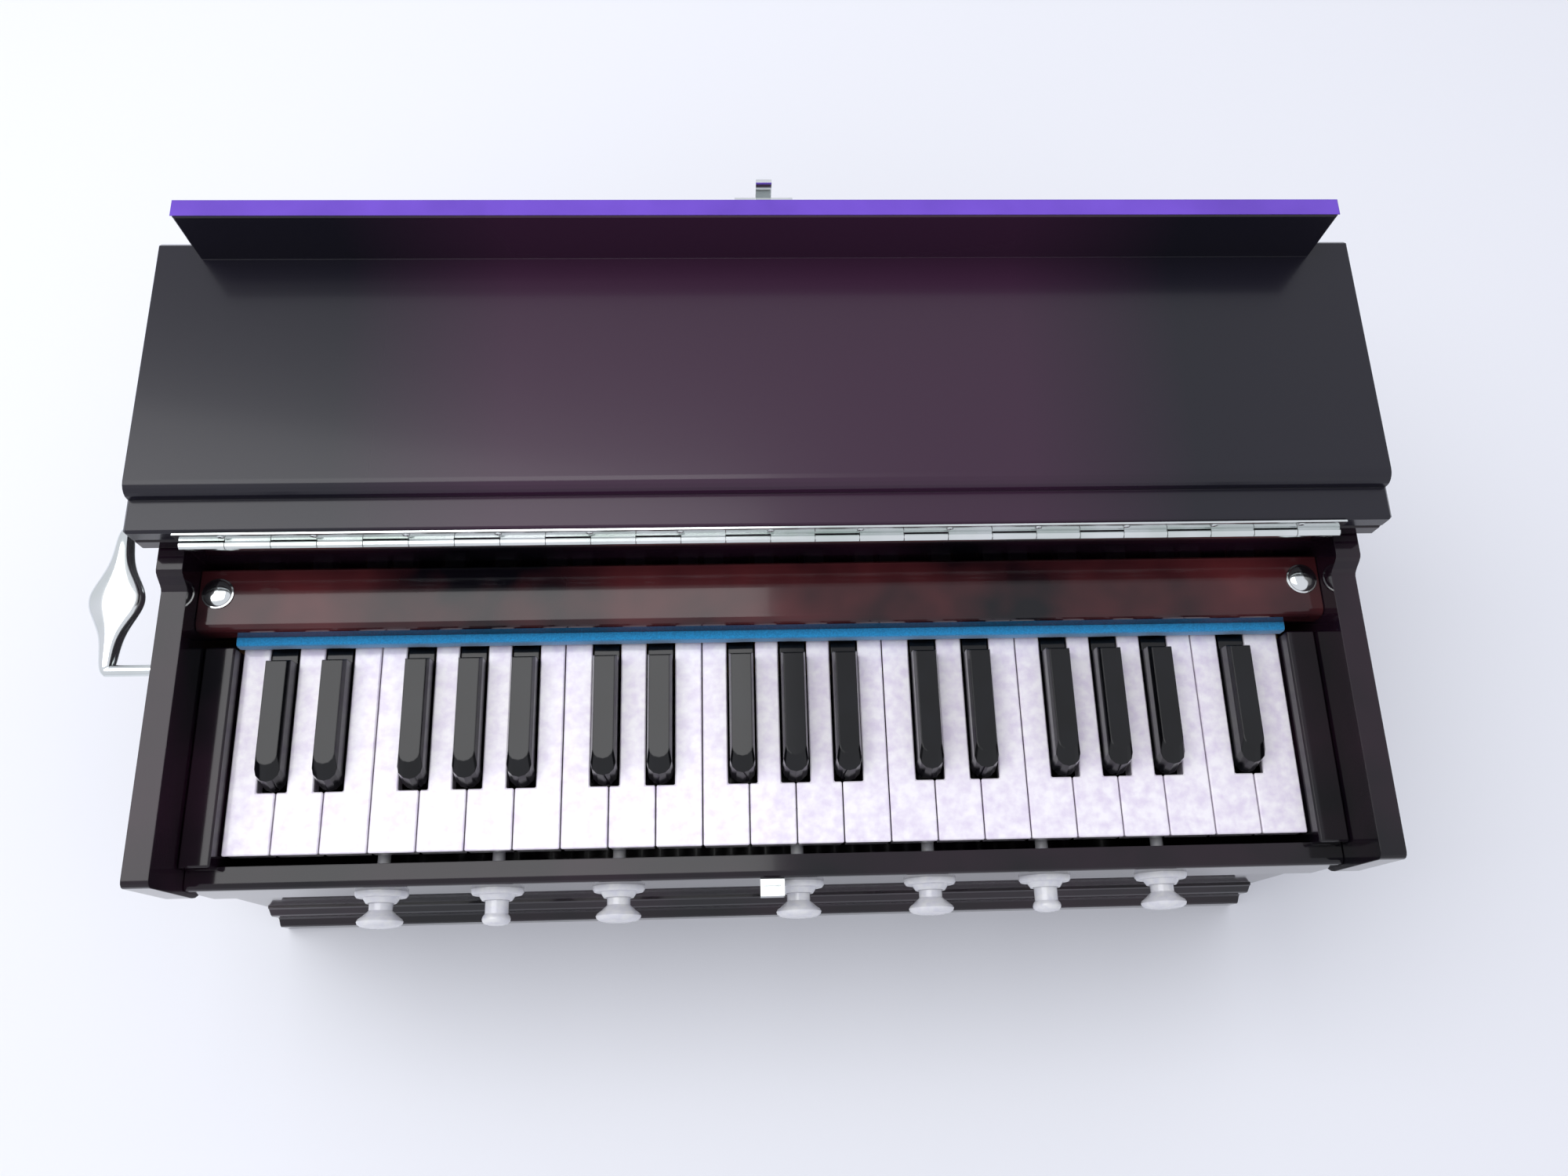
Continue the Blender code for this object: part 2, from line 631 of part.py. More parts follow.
def hinge_leaf(name, surface, moving, parent=None):
    """One leaf of the piano hinge: plate, tabs and every second knuckle; the fixed leaf keeps the pin."""
    half = KNUCKLE_COUNT * KNUCKLE_PITCH / 2
    sign = 1 if moving else -1
    clear = AXIS_Z + sign * (KNUCKLE_RADIUS + RUNNING_GAP)
    far = AXIS_Z + sign * (KNUCKLE_RADIUS + RUNNING_GAP + LEAF_WIDTH)
    outline = [(half, far), (-half, far), (-half, clear)]
    knuckles = []
    for k in range(KNUCKLE_COUNT):
        if (k % 2 == 1) != moving:
            continue
        low = -half + k * KNUCKLE_PITCH + RUNNING_GAP / 2
        high = low + KNUCKLE_PITCH - RUNNING_GAP
        outline += [(low, clear), (low, AXIS_Z), (high, AXIS_Z), (high, clear)]
        knuckles.append(rod(low, high, KNUCKLE_RADIUS, (AXIS_Y, AXIS_Z), 10))
    outline += [(half, clear)]
    plate_back = EDGE_Y - GLUE_GAP
    plate = prism(outline, "y", plate_back - LEAF_THICKNESS, plate_back)
    if moving:
        bore = rod(-half - 1 * MM, half + 1 * MM, PIN_RADIUS + RUNNING_GAP, (AXIS_Y, AXIS_Z), 8)
        leaf = combine(name, surface, plate, (gather(knuckles),), (bore,))
    else:
        pin = rod(-half + RUNNING_GAP, half - RUNNING_GAP, PIN_RADIUS, (AXIS_Y, AXIS_Z), 8)
        leaf = combine(name, surface, plate, (gather(knuckles), pin))
    return seat(leaf, (0, AXIS_Y, AXIS_Z), parent)


def lid_latch(surface, parent):
    """Plate on the lip's outer face, with the tongue that drops into the catch when the lid is shut."""
    face = LID_BACK - FUSE + GLUE_GAP
    top = LIP_TOP - 1 * MM
    plate = block(
        (LATCH_PLACE - LATCH_WIDTH / 2, face, top - LATCH_HEIGHT),
        (LATCH_PLACE + LATCH_WIDTH / 2, face + LATCH_THICKNESS, top),
    )
    tongue = TONGUE_WIDTH / 2
    out = face + TONGUE_STANDS_OFF
    bridge = block(
        (LATCH_PLACE - tongue, face + LATCH_THICKNESS / 2, top - LATCH_HEIGHT / 2),
        (LATCH_PLACE + tongue, out, top - LATCH_HEIGHT / 2 + 3 * MM),
    )
    blade = block(
        (LATCH_PLACE - tongue, out - TONGUE_THICKNESS, top - LATCH_HEIGHT / 2 + 1 * MM),
        (LATCH_PLACE + tongue, out, LIP_TOP + TONGUE_REACH),
    )
    return seat(combine("lid_latch", surface, plate, (bridge, blade)), (0, AXIS_Y, AXIS_Z), parent)


def lid_catch(surface):
    """Slotted box on the front, in front of the stop-knob board, that takes the latch tongue."""
    blade_out = LID_BACK - FUSE + GLUE_GAP + TONGUE_STANDS_OFF
    near = 2 * AXIS_Y - blade_out - SLOT_CLEARANCE
    far = 2 * AXIS_Y - blade_out + TONGUE_THICKNESS + SLOT_CLEARANCE
    half = CATCH_WIDTH / 2
    top = SLIP_TOP - SLIP_NOSE
    body = block(
        (LATCH_PLACE - half, near - CATCH_WALL, top - CATCH_HEIGHT),
        (LATCH_PLACE + half, far + CATCH_WALL, top),
    )
    foot = block(
        (LATCH_PLACE - half, far, top - 5 * MM),
        (LATCH_PLACE + half, SLIP_FRONT - GLUE_GAP, top),
    )
    slot_half = TONGUE_WIDTH / 2 + RUNNING_GAP
    slot = block((LATCH_PLACE - slot_half, near, top - CATCH_HEIGHT + 3 * MM), (LATCH_PLACE + slot_half, far, top + 2 * MM))
    return combine("lid_catch", surface, body, (foot,), (slot,))


def handle(surface):
    """Cast carrying handle: two feet on the cheek, two arms and a grip that swells at its middle."""
    inner = -OUTER - GLUE_GAP
    middle = inner - HANDLE_REACH
    sections = 14
    sides = 8
    bm = bmesh.new()
    rings = []
    for k in range(sections + 1):
        t = -1 + 2 * k / sections
        swell = math.exp(-((t * 2.6) ** 2))
        width = GRIP_END + (GRIP_MIDDLE - GRIP_END) * swell
        y = HANDLE_PLACE + t * (HANDLE_SPAN / 2 + ARM_RADIUS)
        ring = []
        for n in range(sides):
            angle = 2 * math.pi * n / sides
            ring.append(bm.verts.new((
                middle + width * math.cos(angle),
                y,
                HANDLE_HEIGHT + GRIP_THICKNESS * math.sin(angle),
            )))
        rings.append(ring)
    bm.faces.new(rings[0])
    bm.faces.new(rings[-1])
    for first, second in zip(rings, rings[1:]):
        for n in range(sides):
            m = (n + 1) % sides
            bm.faces.new((first[n], first[m], second[m], second[n]))
    grip = mesh_object("shape", bm)
    arms = []
    for side in (-1, 1):
        y = HANDLE_PLACE + side * HANDLE_SPAN / 2
        arms.append(rod(middle, inner, ARM_RADIUS, (y, HANDLE_HEIGHT), 8))
        arms.append(rod(inner - FOOT_THICKNESS, inner, FOOT_RADIUS, (y, HANDLE_HEIGHT), 14))
    return combine("handle", surface, grip, arms)


def bellows_cloth(surface):
    """Folded bellows cloth, shut, between the case back and the pumping board."""
    near = BACK + GLUE_GAP
    far = PUMP_INNER - GLUE_GAP
    bm = bmesh.new()
    rings = []
    for k in range(2 * BELLOWS_FOLDS + 1):
        draw = FOLD_DEPTH if k % 2 else 0
        y = near + (far - near) * k / (2 * BELLOWS_FOLDS)
        side = BELLOWS_HALF - draw
        low = BELLOWS_LIFT + draw
        high = BELLOWS_TOP - draw
        corner = 6 * MM
        spots = (
            (-side, low), (side, low), (side, high - corner), (side - corner, high),
            (-side + corner, high), (-side, high - corner),
        )
        rings.append([bm.verts.new((x, y, z)) for x, z in spots])
    bm.faces.new(rings[0])
    bm.faces.new(rings[-1])
    for first, second in zip(rings, rings[1:]):
        for n in range(len(first)):
            m = (n + 1) % len(first)
            bm.faces.new((first[n], first[m], second[m], second[n]))
    return combine("bellows_cloth", surface, mesh_object("shape", bm))


def bellows_board(surface):
    """Pumping board, hinged along its lower inner edge, with a raised edge band as a finger grip."""
    board = block(
        (-BELLOWS_HALF, PUMP_INNER, BELLOWS_LIFT),
        (BELLOWS_HALF, PUMP_INNER + PUMP_BOARD, BELLOWS_TOP),
        BOARD_EDGE,
    )
    return seat(combine("bellows_board", surface, board), (0, PUMP_INNER, BELLOWS_LIFT))


def main():
    for leftover in list(bpy.data.objects):
        bpy.data.objects.remove(leftover)
    lacquer = material("black_lacquer", (0.012, 0.01, 0.018), 0.1)
    plain_wood = material("plain_wood", (0.42, 0.27, 0.14), 0.6)
    pearl = material("pearl_celluloid", (0.8, 0.76, 0.82), 0.15)
    ebony = material("black_plastic", (0.01, 0.01, 0.012), 0.12)
    felt = material("blue_felt", (0.01, 0.16, 0.42), 0.95)
    ivory = material("ivory_plastic", (0.72, 0.72, 0.68), 0.3)
    chrome = material("chrome_plate", (0.75, 0.76, 0.76), 0.12, 1.0)
    cloth = material("bellows_leather", (0.06, 0.015, 0.02), 0.6)

    key_axis = bpy.data.objects.new("key_axis", None)
    key_axis.location = (0, PIVOT, LEVER_BOTTOM)
    lid_axis = bpy.data.objects.new("lid_axis", None)
    lid_axis.location = (0, AXIS_Y, AXIS_Z)
    for empty in (key_axis, lid_axis):
        bpy.context.scene.collection.objects.link(empty)
    bpy.context.view_layer.update()

    case(lacquer)
    pallet_board(plain_wood)
    front_rail(lacquer)
    name_rail(lacquer)
    felt_strip(felt)
    top_board(lacquer)
    lid(lacquer, lid_axis)
    hinge_leaf("hinge_leaf_case", chrome, False)
    hinge_leaf("hinge_leaf_lid", chrome, True, lid_axis)
    lid_latch(chrome, lid_axis)
    lid_catch(chrome)
    handle(chrome)
    bellows_cloth(cloth)
    bellows_board(lacquer)
    for number, place in enumerate(KNOB_PLACES):
        stop_knob(number + 1, place, number in NARROW_KNOBS, ivory)
    blacks = 0
    for index in range(WHITE_COUNT):
        white_key(index, pearl, key_axis)
        middle = black_centre(index)
        if middle is not None:
            blacks += 1
            black_key(blacks, middle, ebony, key_axis)


main()
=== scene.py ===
import math

import bmesh
import bpy
import numpy as np
from mathutils import Matrix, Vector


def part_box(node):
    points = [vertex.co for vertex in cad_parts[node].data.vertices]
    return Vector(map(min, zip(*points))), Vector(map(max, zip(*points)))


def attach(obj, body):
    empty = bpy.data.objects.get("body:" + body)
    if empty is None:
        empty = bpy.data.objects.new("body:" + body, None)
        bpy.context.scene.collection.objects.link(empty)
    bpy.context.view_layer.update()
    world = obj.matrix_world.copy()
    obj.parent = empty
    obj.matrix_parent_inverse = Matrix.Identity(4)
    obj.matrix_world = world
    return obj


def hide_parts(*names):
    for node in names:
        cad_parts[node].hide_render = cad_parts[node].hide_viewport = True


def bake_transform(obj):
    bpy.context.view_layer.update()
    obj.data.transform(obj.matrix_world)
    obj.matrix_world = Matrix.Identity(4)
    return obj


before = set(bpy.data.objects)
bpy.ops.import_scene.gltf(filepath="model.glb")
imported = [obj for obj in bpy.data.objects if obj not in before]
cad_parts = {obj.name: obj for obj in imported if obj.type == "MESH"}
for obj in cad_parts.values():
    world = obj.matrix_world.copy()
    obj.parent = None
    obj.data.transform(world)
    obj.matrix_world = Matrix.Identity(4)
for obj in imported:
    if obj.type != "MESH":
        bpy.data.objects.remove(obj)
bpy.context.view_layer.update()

# The case, rails, lid and pumping board are joined boards under polished black lacquer.
# The lacquer has a clear top coat, faint waviness and softened edges.
MM = 0.001
LACQUER_BLACK = "#0b090f"
# The name rail's brown is a painted reflection: brown patches in its black stand for the brown its glossy top
# reflects.
RAIL_REFLECTION_BROWN = "#562427"
LACQUER_PLUM = "#24121f"
LACQUER_ROUGHNESS = 0.09
LACQUER_WAVE_MM = 60
LACQUER_WAVE_HEIGHT_MM = 0.03
# The lid's plum is a painted reflection: lighter plum in the lid's middle, fading to black towards its ends.
LID_BLACK = "#14121d"
LID_PAINTED_REFLECTION = "#341a31"
LID_WAVE_MM = 170
LID_REFLECTION_REACH_MM = 320
POLISH = {"Specular_IOR_Level": 0.3, "Coat_Weight": 0.15, "Coat_Roughness": 0.03}
EDGE_SOFTNESS = 0.6 * MM
MOTTLE_FROM = 0.35
MOTTLE_TO = 0.7


def colour(text):
    """Linear RGBA of an sRGB hex colour."""
    values = [int(text[i:i + 2], 16) / 255 for i in (1, 3, 5)]
    return tuple(v / 12.92 if v <= 0.04045 else ((v + 0.055) / 1.055) ** 2.4 for v in values) + (1,)


def add(tree, kind, **values):
    """Adds a shader node and sets its sockets by name, with underscores for spaces."""
    node = tree.nodes.new("ShaderNode" + kind)
    for key, value in values.items():
        node.inputs[key.replace("_", " ")].default_value = value
    return node


def surface(name, main, second, grain_mm, bump_mm, edge=EDGE_SOFTNESS, middle_mm=None, **shader_values):
    """Material mottled between two colours by noise of grain_mm, with bumps bump_mm high and soft edges.

    With middle_mm the second colour lies in the piece's middle instead, fading out to that distance along X.
    """
    made = bpy.data.materials.new(name)
    made.use_nodes = True
    tree = made.node_tree
    shader = tree.nodes["Principled BSDF"]
    for key, value in shader_values.items():
        shader.inputs[key.replace("_", " ")].default_value = value
    place = add(tree, "TexCoord")
    noise = add(tree, "TexNoise", Scale=1 / (grain_mm * MM), Detail=3.0)
    ramp = add(tree, "ValToRGB")
    ramp.color_ramp.elements[0].position = MOTTLE_FROM
    ramp.color_ramp.elements[1].position = MOTTLE_TO
    ramp.color_ramp.elements[0].color = colour(main)
    ramp.color_ramp.elements[1].color = colour(second)
    rounded = add(tree, "Bevel", Radius=edge)
    bump = add(tree, "Bump", Strength=1.0, Distance=bump_mm * MM)
    tree.links.new(place.outputs["Object"], noise.inputs["Vector"])
    tree.links.new(noise.outputs["Fac"], ramp.inputs["Fac"])
    if middle_mm is not None:
        parts = add(tree, "SeparateXYZ")
        away = add(tree, "Math")
        away.operation = "ABSOLUTE"
        fade = add(tree, "MapRange", From_Max=middle_mm * MM, To_Min=1.0, To_Max=0.0)
        fade.interpolation_type = "SMOOTHSTEP"
        tree.links.new(place.outputs["Object"], parts.inputs["Vector"])
        tree.links.new(parts.outputs["X"], away.inputs[0])
        tree.links.new(away.outputs[0], fade.inputs["Value"])
        tree.links.new(fade.outputs["Result"], ramp.inputs["Fac"])
    tree.links.new(ramp.outputs["Color"], shader.inputs["Base Color"])
    tree.links.new(noise.outputs["Fac"], bump.inputs["Height"])
    tree.links.new(rounded.outputs["Normal"], bump.inputs["Normal"])
    tree.links.new(bump.outputs["Normal"], shader.inputs["Normal"])
    return made


def dress(material, slot, *names):
    """Gives kept solids their material; slot is not used."""
    for name in names:
        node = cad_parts[name]
        node.data.materials.clear()
        node.data.materials.append(material)
        node.data.polygons.foreach_set("material_index", np.zeros(len(node.data.polygons), np.int32))


lacquer = surface(
    "black_lacquer", LACQUER_BLACK, LACQUER_PLUM, LACQUER_WAVE_MM, LACQUER_WAVE_HEIGHT_MM,
    Roughness=LACQUER_ROUGHNESS, **POLISH,
)
# Name rail lacquer with a brown painted reflection mottled into the black.
rail_reflection_lacquer = surface(
    "black_lacquer_rail_reflection", LACQUER_BLACK, RAIL_REFLECTION_BROWN, LACQUER_WAVE_MM, LACQUER_WAVE_HEIGHT_MM,
    Roughness=LACQUER_ROUGHNESS, **POLISH,
)
# Lid lacquer with a painted reflection: plum in the middle, black towards the ends.
lid_reflection_lacquer = surface(
    "black_lacquer_painted_reflection", LID_BLACK, LID_PAINTED_REFLECTION, LID_WAVE_MM, LACQUER_WAVE_HEIGHT_MM,
    middle_mm=LID_REFLECTION_REACH_MM,
    Roughness=0.25, Specular_IOR_Level=0.35, Coat_Weight=0.15, Coat_Roughness=0.1,
)
dress(lacquer, "lacquer", "case", "front_rail", "top_board", "bellows_board")
dress(lid_reflection_lacquer, "lacquer", "lid")
dress(rail_reflection_lacquer, "lacquer", "name_rail")

# The pallet board and balance rail are bare softwood under the levers.
# The grain is a fine noise in two browns.
plain_wood = surface("bare_wood", "#a87c4c", "#c79a64", 3, 0.05, Roughness=0.65)
dress(plain_wood, "plain_wood", "pallet_board")

# The white keys are wooden levers faced with pearl celluloid; the black ones are polished plastic.
# The pearl's clouds run from cool white to lavender under a clear coat.
PEARL_CLOUD_MM = 5
pearl = surface(
    "pearl_celluloid", "#f6f2f7", "#e2d8ea", PEARL_CLOUD_MM, 0.01, edge=0.5 * MM,
    Roughness=0.2, Coat_Weight=0.5, Coat_Roughness=0.05,
)
ebony = surface(
    "black_key_plastic", "#050506", "#0b0c10", 20, 0.01, edge=0.8 * MM,
    Roughness=0.1, **POLISH,
)
dress(pearl, "pearl", *[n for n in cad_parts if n.startswith("white_key")])
dress(ebony, "black_key", *[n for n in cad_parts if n.startswith("black_key")])

# The hinge, latch and catch are bright plated metal.
# The hinge screws are low domes on the moving leaf, one on every second tab.
chrome = surface("chrome_plate", "#dfe2e2", "#cfd6d2", 30, 0.002, edge=0.2 * MM, Metallic=1.0, Roughness=0.12)
dress(chrome, "chrome", "hinge_leaf_case", "hinge_leaf_lid", "lid_latch", "lid_catch")
SMOOTH_BELOW = math.radians(38)
SCREW_RADIUS = 1.7 * MM
SCREW_HEIGHT = 0.5 * MM
SCREW_PITCH = 40 * MM
SCREW_ABOVE_EDGE = 3.2 * MM


def form(name, loops, material, body, closed_ends=True):
    """A piece from arrays of loops (loops, points, 3): neighbouring loops are joined by quads.

    With closed_ends the first and last loops are capped, otherwise the last joins the first.
    """
    points, faces, base = [], [], 0
    for array in loops:
        count, around = array.shape[:2]
        index = np.arange(count * around).reshape(count, around) + base
        if not closed_ends:
            index = np.vstack((index, index[:1]))
        turned_on = np.roll(index, -1, axis=1)
        quads = np.stack((index[:-1], turned_on[:-1], turned_on[1:], index[1:]), axis=-1)
        faces += quads.reshape(-1, 4).tolist()
        if closed_ends:
            faces += [index[0][::-1].tolist(), index[-1].tolist()]
        points.append(array.reshape(-1, 3))
        base += count * around
    mesh = bpy.data.meshes.new(name)
    mesh.from_pydata(np.vstack(points).tolist(), [], faces)
    bm = bmesh.new()
    bm.from_mesh(mesh)
    bmesh.ops.recalc_face_normals(bm, faces=bm.faces)
    bm.to_mesh(mesh)
    bm.free()
    mesh.polygons.foreach_set("use_smooth", np.ones(len(mesh.polygons), bool))
    mesh.set_sharp_from_angle(angle=SMOOTH_BELOW)
    mesh.materials.append(material)
    piece = bpy.data.objects.new(name, mesh)
    bpy.context.scene.collection.objects.link(piece)
    if body is not None:
        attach(piece, body)
    return piece


def turned(profile, base, axis, sides=48):
    """Loops base + along a + r (cos t u + sin t v) for each (r, along) of the profile, t round the axis a."""
    axis = np.array(axis, float)
    u = np.roll(axis, 1)
    v = np.cross(axis, u)
    t = np.linspace(0, 2 * math.pi, sides, endpoint=False)[None, :, None]
    radius = np.array(profile)[:, 0][:, None, None]
    along = np.array(profile)[:, 1][:, None, None]
    return np.array(base)[None, None, :] + along * axis + radius * (np.cos(t) * u + np.sin(t) * v)


leaf_low, leaf_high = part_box("hinge_leaf_lid")
screw_rows = np.arange(leaf_low.x + SCREW_PITCH / 2, leaf_high.x, SCREW_PITCH)
screw_profile = (
    (SCREW_RADIUS, 0.0), (SCREW_RADIUS * 0.9, SCREW_HEIGHT * 0.5),
    (SCREW_RADIUS * 0.6, SCREW_HEIGHT * 0.85), (SCREW_RADIUS * 0.1, SCREW_HEIGHT),
)
leaf_face = leaf_high.y - 1.0 * MM
screw_z = leaf_high.z - SCREW_ABOVE_EDGE
screws = [turned(screw_profile, (x, leaf_face, screw_z), (0, -1, 0), 20) for x in screw_rows]
form("hinge_screws", screws, chrome, "lid")

# Two chrome dome-headed screws hold the name rail down, one near each end.
# Each is a low dome on a thin rim, turned on its own axis.
DOME_RADIUS = 7.2 * MM
DOME_HEIGHT = 3 * MM
DOME_FROM_END = 8.5 * MM
DOME_BEHIND_NOSE = 17.5 * MM
rail_low, rail_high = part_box("name_rail")
sweep = np.linspace(0, 0.98 * math.pi / 2, 9)
dome = np.stack((DOME_RADIUS * 0.9 * np.cos(sweep), DOME_HEIGHT * (0.25 + 0.75 * np.sin(sweep))), axis=1)
dome = np.vstack(([[DOME_RADIUS, 0], [DOME_RADIUS, DOME_HEIGHT * 0.2]], dome))
dome_y = rail_low.y + DOME_BEHIND_NOSE
dome_z = rail_high.z + 0.02 * MM
dome_places = (rail_low.x + DOME_FROM_END, rail_high.x - DOME_FROM_END)
domes = [turned(dome, (x, dome_y, dome_z), (0, 0, 1)) for x in dome_places]
form("rail_screws", domes, chrome, "case")

# A painted reflection lies on the lip's upper edge: a violet strip stands for the purple light the edge
# reflects.
# It is a thin flat strip over the edge's whole length, and moves with the lid.
BAND_HEIGHT = 0.3 * MM
BAND_FROM_SIDE = 20 * MM
BAND_FROM_BACK = 0.9 * MM
BAND_DEPTH = 8 * MM
lip_reflection_paint = surface("lip_edge_painted_reflection", "#5a2cb4", "#6a3cc8", 40, 0.005, Roughness=0.3, Coat_Weight=0.6)
lid_low, lid_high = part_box("lid")
lip_top = lid_high.z + 0.05 * MM
band_y = (lid_high.y - BAND_FROM_BACK - BAND_DEPTH, lid_high.y - BAND_FROM_BACK)
band_z = (lip_top, lip_top + BAND_HEIGHT)
band_ring = [(band_y[0], band_z[0]), (band_y[1], band_z[0]), (band_y[1], band_z[1]), (band_y[0], band_z[1])]
band_x = (lid_low.x + BAND_FROM_SIDE, lid_high.x - BAND_FROM_SIDE)
band = np.array([[(x, y, z) for y, z in band_ring] for x in band_x])
form("lip_edge_reflection_strip", [band], lip_reflection_paint, "lid")

# A strip of blue felt under the name rail keeps the keys quiet.
# Its section is a soft-cornered oblong, and its nap is a fine noise with sheen.
FELT_SIDES = 32
FELT_STATIONS = 120
FELT_SQUARENESS = 5
FELT_WAVER = 0.15 * MM
felt = surface(
    "blue_felt", "#0f78ad", "#1a93cf", 0.7, 0.15, edge=0.3 * MM, Roughness=0.95, Sheen_Weight=0.5,
)


def felt_loops(low, high):
    """Superellipse sections |y/a|^n + |z/b|^n = 1 at stations along X, with a slight waver in size."""
    t = np.linspace(0, 2 * math.pi, FELT_SIDES, endpoint=False)[None, :]
    x = np.linspace(low.x, high.x, FELT_STATIONS)[:, None] + 0 * t
    power = 2 / FELT_SQUARENESS
    size = -FELT_WAVER * (0.5 + 0.5 * np.sin(x / (11 * MM)) * np.sin(x / (4.3 * MM)))
    half_y = (high.y - low.y) / 2 + size
    half_z = (high.z - low.z) / 2 + size
    y = (low.y + high.y) / 2 + half_y * np.sign(np.cos(t)) * np.abs(np.cos(t)) ** power
    z = (low.z + high.z) / 2 + half_z * np.sign(np.sin(t)) * np.abs(np.sin(t)) ** power
    return np.stack((x, y, z), axis=-1)


felt_piece = form("felt", [felt_loops(*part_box("felt_strip"))], felt, "case")
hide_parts("felt_strip")

# The stop knobs are turned from pale plastic and pull out of round escutcheons on the board.
# Each head is a shallow dome flaring from its neck; the escutcheons are rings of the same plastic.
HEAD_FLARE = ((0.04, 0), (0.52, 0.3), (0.82, 0.9), (0.96, 1.9), (1.0, 3.1), (0.95, 4.2), (0.8, 5.3))
NECK_RADIUS = 5.4 * MM
NECK_STARTS = 8 * MM
NECK_ENDS = 19.4 * MM
ROD_RADIUS = 3 * MM
RING_SECTION = (
    (5.85, -0.2), (12.15, -0.2), (12.15, 1.4), (11.3, 2.5),
    (8.4, 2.6), (7.9, 3.6), (6.9, 5.1), (5.85, 5.1),
)
ivory = surface(
    "pale_knob_plastic", "#dededf", "#cfcfd8", 4, 0.01, edge=0.3 * MM,
    Roughness=0.22, Coat_Weight=0.4, Coat_Roughness=0.05,
)
slip_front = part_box("front_rail")[0].y + 5 * MM
for number in range(1, 8):
    node = "stop_knob_%d" % number
    low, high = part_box(node)
    head = (high.x - low.x) / 2
    middle = ((low.x + high.x) / 2, (low.z + high.z) / 2)
    flare = [(head * share, along * MM) for share, along in HEAD_FLARE]
    flare = [(max(r, NECK_RADIUS) if a > 4.5 * MM else r, a) for r, a in flare]
    neck = [(NECK_RADIUS, NECK_STARTS), (NECK_RADIUS, NECK_ENDS)]
    rod = [(ROD_RADIUS, NECK_ENDS + 1 * MM), (ROD_RADIUS, high.y - low.y)]
    knob_loops = turned(flare + neck + rod, (middle[0], low.y, middle[1]), (0, 1, 0))
    knob = form("knob_%d" % number, [knob_loops], ivory, node)
    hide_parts(node)
    ring = [(r * MM, a * MM) for r, a in RING_SECTION]
    form(
        "escutcheon_%d" % number, [turned(ring, (middle[0], slip_front, middle[1]), (0, -1, 0))],
        ivory, "case", closed_ends=False,
    )

# The carrying handle is one chromed casting: two round feet on the cheek, two arms, and a leaf-shaped grip.
# The grip's half width is w0 + (w1 - w0) exp(-(2.6 t)^2) along its length, t from -1 to 1.
ARM_RADIUS = 2.8 * MM
GRIP_HALF_THICKNESS = 4.2 * MM
GRIP_END = 4.5 * MM
GRIP_MIDDLE = 13.5 * MM
FOOT_RADIUS = 9 * MM
handle_low, handle_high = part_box("handle")


def grip_loops(low, high, sides=32, stations=70):
    """Oval sections across the grip; the ends round off as sqrt(1 - t^8)."""
    t = np.linspace(-0.995, 0.995, stations)[:, None]
    a = np.linspace(0, 2 * math.pi, sides, endpoint=False)[None, :]
    close = np.sqrt(1 - t ** 8)
    width = (GRIP_END + (GRIP_MIDDLE - GRIP_END) * np.exp(-(2.6 * t) ** 2)) * close
    reach = (high.y - FOOT_RADIUS - (low.y + FOOT_RADIUS)) / 2 + ARM_RADIUS
    x = low.x + GRIP_MIDDLE + width * np.cos(a)
    y = (low.y + high.y) / 2 + reach * t + 0 * a
    z = (low.z + high.z) / 2 + GRIP_HALF_THICKNESS * close * np.sin(a)
    return np.stack((x, y, z), axis=-1)


arm_height = (handle_low.z + handle_high.z) / 2
arm_start = handle_low.x + GRIP_MIDDLE
arm_length = handle_high.x - arm_start
arm = (
    (ARM_RADIUS, 0), (ARM_RADIUS, arm_length - 6 * MM),
    (ARM_RADIUS * 1.3, arm_length - 3.5 * MM), (FOOT_RADIUS * 0.8, arm_length - 2.5 * MM),
    (FOOT_RADIUS, arm_length - 1.2 * MM), (FOOT_RADIUS, arm_length),
)
arms = [
    turned(arm, (arm_start, y, arm_height), (1, 0, 0))
    for y in (handle_low.y + FOOT_RADIUS, handle_high.y - FOOT_RADIUS)
]
handle = form("carrying_handle", [grip_loops(handle_low, handle_high), *arms], chrome, "case")
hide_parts("handle")

# The bellows cloth is leather-edged cloth in four folds between the case back and the pumping board.
# Its rings follow a rounded oblong drawn in by d (1 - |cos(pi n s)|^0.7).
FOLDS = 4
FOLD_DRAW = 6.8 * MM
CLOTH_SQUARENESS = 32
cloth = surface("bellows_leather", "#2a0f14", "#3c161b", 1.6, 0.12, edge=0.3 * MM, Roughness=0.6)


def cloth_loops(low, high, stations=65, sides=160):
    """Superellipse rings in XZ at stations along Y, drawn in at each fold's valley."""
    s = np.linspace(0, 1, stations)[:, None]
    t = np.linspace(0, 2 * math.pi, sides, endpoint=False)[None, :]
    draw = FOLD_DRAW * (1 - np.abs(np.cos(math.pi * FOLDS * s)) ** 0.7)
    power = 2 / CLOTH_SQUARENESS
    half_x = (high.x - low.x) / 2 - draw
    half_z = (high.z - low.z) / 2 - draw
    x = half_x * np.sign(np.cos(t)) * np.abs(np.cos(t)) ** power
    z = (low.z + high.z) / 2 + half_z * np.sign(np.sin(t)) * np.abs(np.sin(t)) ** power
    y = low.y + (high.y - low.y) * s + 0 * t
    return np.stack((x, y, z), axis=-1)


cloth_low, cloth_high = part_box("bellows_cloth")
bellows = form("bellows", [cloth_loops(cloth_low, cloth_high)], cloth, None)
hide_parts("bellows_cloth")
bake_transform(bellows)

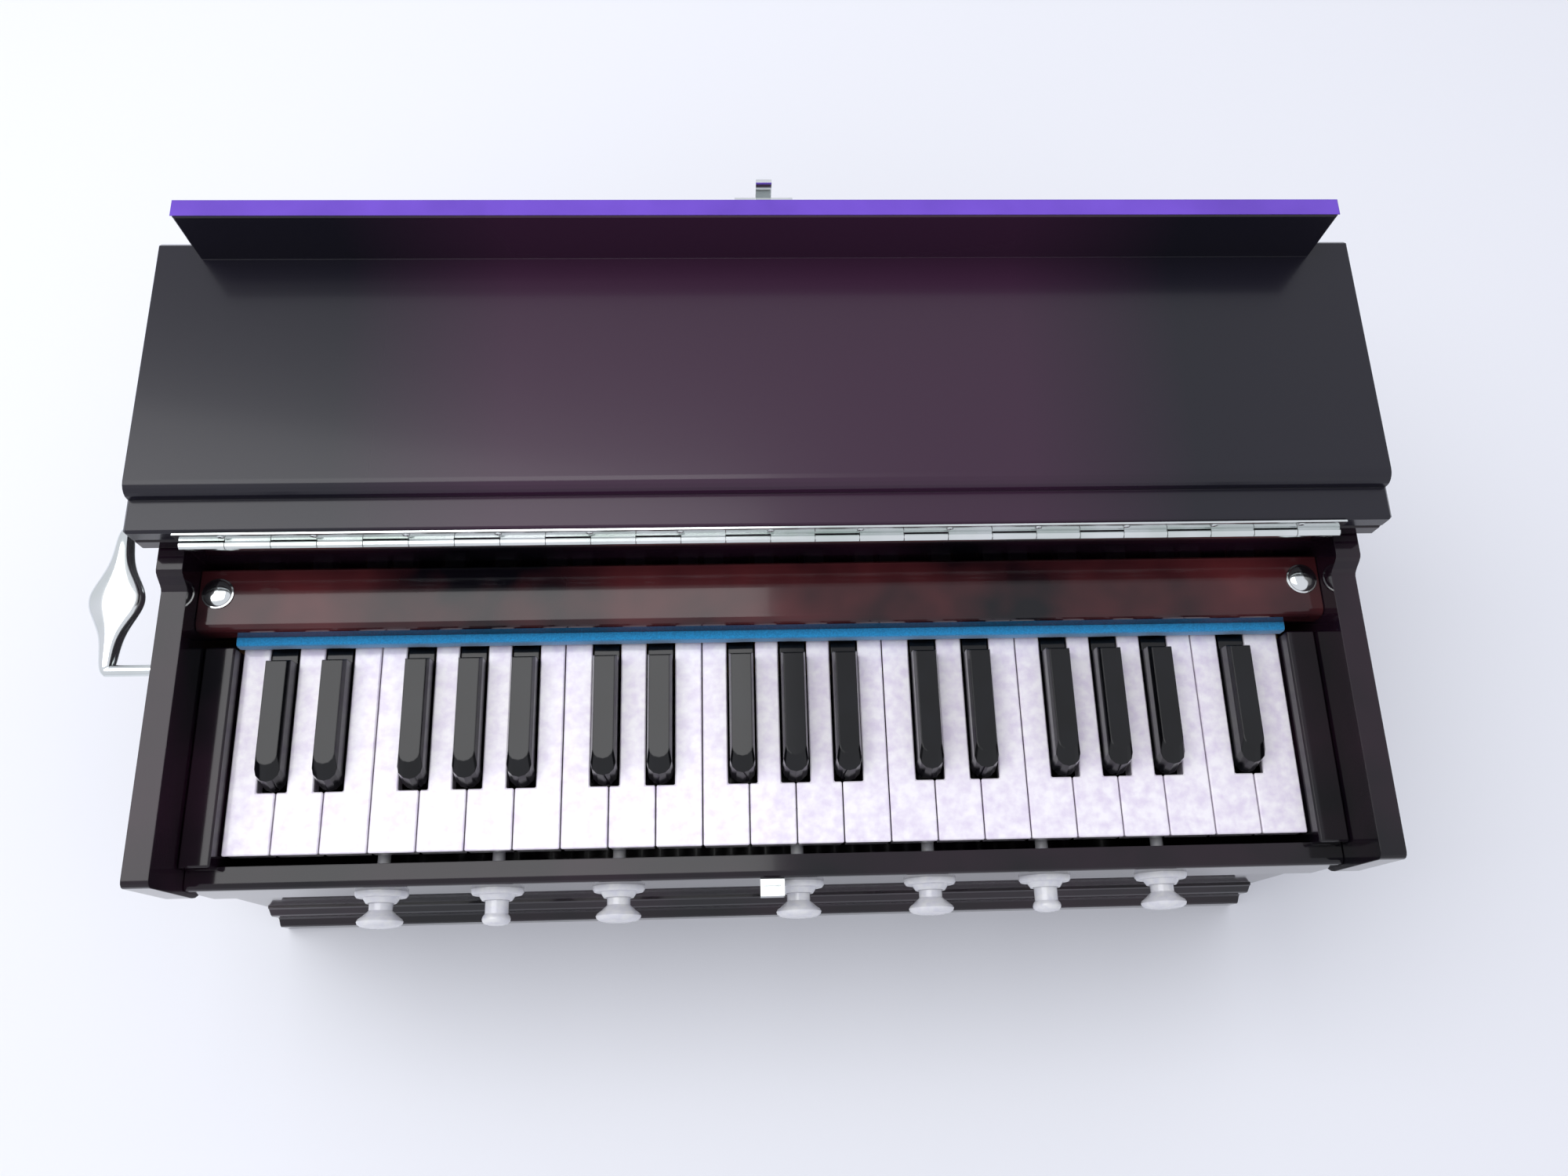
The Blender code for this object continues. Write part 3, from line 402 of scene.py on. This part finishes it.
# A pale plain floor under a soft, even studio light.
# One large soft light from above left shapes the forms; the room itself is pale and even.
FLOOR_HALF = 6
FLOOR_COLOUR = "#f1f2f7"
ROOM_COLOUR = "#eceef6"
ROOM_SEEN = 1.0
ROOM_LIGHT = 0.85
LAMP_WATTS = 12
LAMP_SIZE = (1.4, 1.0)
LAMP_PLACE = (-0.6, 0.2, 1.5)
LAMP_TILT = math.radians(-22)
floor_mesh = bpy.data.meshes.new("floor")
corners = [(x * FLOOR_HALF, y * FLOOR_HALF, 0) for x, y in ((-1, -1), (1, -1), (1, 1), (-1, 1))]
floor_mesh.from_pydata(corners, [], [(0, 1, 2, 3)])
floor_mesh.materials.append(surface("floor_paper", FLOOR_COLOUR, FLOOR_COLOUR, 50, 0.0, Roughness=0.8))
floor = bpy.data.objects.new("floor", floor_mesh)
bpy.context.scene.collection.objects.link(floor)

lamp_data = bpy.data.lights.new("softbox", "AREA")
lamp_data.shape = "RECTANGLE"
lamp_data.size, lamp_data.size_y = LAMP_SIZE
lamp_data.energy = LAMP_WATTS
lamp = bpy.data.objects.new("softbox", lamp_data)
lamp.matrix_world = Matrix.Translation(LAMP_PLACE) @ Matrix.Rotation(LAMP_TILT, 4, "Y")
bpy.context.scene.collection.objects.link(lamp)

world = bpy.data.worlds.new("room")
world.use_nodes = True
room = world.node_tree
sky = room.nodes["Background"]
sky.inputs["Color"].default_value = colour(ROOM_COLOUR)
path = room.nodes.new("ShaderNodeLightPath")
seen = path.outputs["Is Camera Ray"]
for ray in ("Is Glossy Ray", "Is Transmission Ray"):
    either = room.nodes.new("ShaderNodeMath")
    either.operation = "MAXIMUM"
    room.links.new(seen, either.inputs[0])
    room.links.new(path.outputs[ray], either.inputs[1])
    seen = either.outputs[0]
level = room.nodes.new("ShaderNodeMapRange")
level.inputs["To Min"].default_value = ROOM_LIGHT
level.inputs["To Max"].default_value = ROOM_SEEN
room.links.new(seen, level.inputs["Value"])
room.links.new(level.outputs["Result"], sky.inputs["Strength"])
bpy.context.scene.world = world

# The camera stands where the photograph was taken from, fitted to the keys and the case.
CAMERA_PLACE = (-0.0184, -0.1678, 0.7574)
CAMERA_TURNS = (("Z", -7.4), ("X", 19.3), ("Z", 6.2))
CAMERA_LENS = 29.045
CAMERA_SENSOR = 36
CAMERA_NEAREST = 0.01
PHOTO_SIZE = (2000, 1500)
camera_data = bpy.data.cameras.new("photo_view")
camera_data.lens = CAMERA_LENS
camera_data.sensor_width = CAMERA_SENSOR
camera_data.clip_start = CAMERA_NEAREST
camera = bpy.data.objects.new("photo_view", camera_data)
turn = Matrix.Identity(4)
for axis, degrees in CAMERA_TURNS:
    turn = turn @ Matrix.Rotation(math.radians(degrees), 4, axis)
camera.matrix_world = Matrix.Translation(CAMERA_PLACE) @ turn
scene = bpy.context.scene
scene.collection.objects.link(camera)
scene.camera = camera
scene.render.engine = "CYCLES"
scene.render.resolution_x, scene.render.resolution_y = PHOTO_SIZE
scene.view_settings.view_transform = "Standard"
